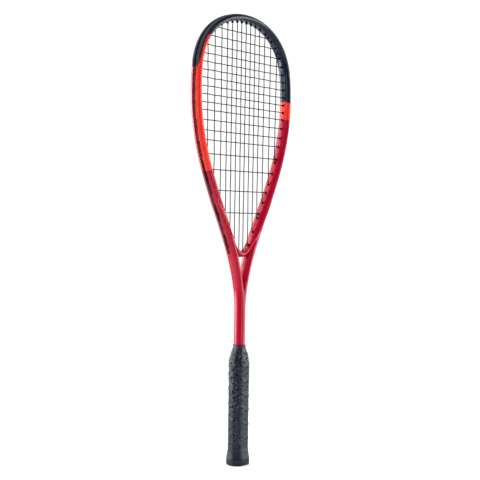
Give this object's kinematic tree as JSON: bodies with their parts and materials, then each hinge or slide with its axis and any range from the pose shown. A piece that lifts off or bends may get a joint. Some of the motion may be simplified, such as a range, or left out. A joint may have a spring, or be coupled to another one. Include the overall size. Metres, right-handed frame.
{
  "type": "squash racket",
  "caption": "Squash racket with a teardrop strung head on a hollow forked frame, throat bridge, head bumper, grommet strips, slim shaft and wrapped handle with a butt cap.",
  "frame": {"origin": "middle of the flat underside of the butt cap", "axes": "+Z along the shaft from the butt to the tip of the head, X across the head, Y normal to the string bed with the front face towards -Y"},
  "size_m": [0.2132, 0.0326, 0.6855],
  "materials": {
    "frame_paint": "glossy crimson lacquer over fibre composite, with orange-red and black fields on the head",
    "bridge_paint": "glossy crimson lacquer",
    "bumper_nylon": "satin black moulded nylon",
    "strip_nylon": "satin dark moulded nylon",
    "string_black": "black synthetic gut with a slight gloss",
    "pallet_foam": "rigid foam, matt",
    "cap_plastic": "satin black moulded plastic",
    "staple_steel": "bare wire",
    "grip_tape": "matt charcoal perforated polyurethane tape",
    "tape_black": "satin black adhesive tape"
  },
  "bodies": {
    "root": {"frame": "frame_paint", "throat_bridge": "bridge_paint", "head_bumper": "bumper_nylon", "grommet_strip_left": "strip_nylon", "grommet_strip_right": "strip_nylon", "bridge_grommets": "strip_nylon", "main_string": "string_black", "cross_string": "string_black", "pallet_front": "pallet_foam", "pallet_back": "pallet_foam", "butt_cap": "cap_plastic", "cap_staple_left": "staple_steel", "cap_staple_right": "staple_steel", "grip_tape": "grip_tape", "finishing_tape": "tape_black"}
  },
  "joints": []
}
